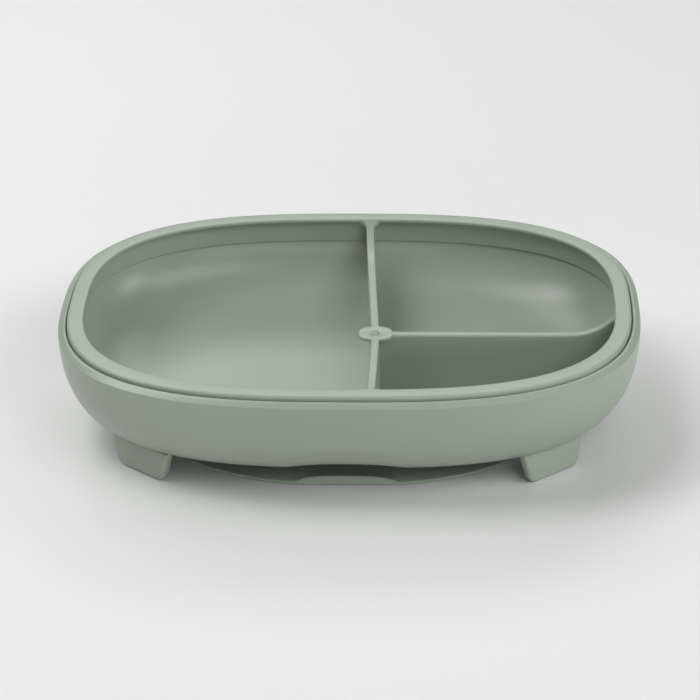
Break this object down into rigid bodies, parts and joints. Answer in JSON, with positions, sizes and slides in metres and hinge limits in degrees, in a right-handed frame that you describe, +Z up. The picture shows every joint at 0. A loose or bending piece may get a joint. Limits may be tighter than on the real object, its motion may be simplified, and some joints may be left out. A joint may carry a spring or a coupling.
{
  "type": "suction bowl",
  "caption": "Oval divided feeding bowl on corner feet, with a lift-out divider frame and a push-fit silicone suction base with a pull tab.",
  "frame": {"origin": "on the table, under the middle of the bowl", "axes": "+X along the length, towards the end with two small compartments; +Y to the back, away from the pull tab; +Z up"},
  "size_m": [0.2193, 0.1538, 0.047],
  "materials": {
    "bowl_plastic": "satin",
    "insert_plastic": "satin",
    "cup_silicone": "matte",
    "carrier_plastic": "satin"
  },
  "bodies": {
    "suction_base": {"suction_cup": "cup_silicone", "cup_carrier": "carrier_plastic"},
    "pull_tab": {"pull_tab": "cup_silicone"},
    "bowl": {"bowl_body": "bowl_plastic", "foot_front_left": "bowl_plastic", "foot_front_right": "bowl_plastic", "foot_back_left": "bowl_plastic", "foot_back_right": "bowl_plastic"},
    "divider_insert": {"divider_frame": "insert_plastic", "long_divider": "insert_plastic", "cross_divider": "insert_plastic", "hub_disc": "insert_plastic"}
  },
  "joints": [
    {"name": "bowl_lift", "type": "slide", "parent": "suction_base", "child": "bowl", "axis": [0, 0, 1], "range_m": [0, 0.05]},
    {"name": "insert_lift", "type": "slide", "parent": "bowl", "child": "divider_insert", "axis": [0, 0, 1], "range_m": [0, 0.06]},
    {"name": "tab_bend", "type": "hinge", "parent": "suction_base", "child": "pull_tab", "pos_m": [0, -0.0505, 0.0024], "axis": [-1, 0, 0], "range_deg": [0, 25], "stiffness_Nm_per_rad": 0.02}
  ]
}
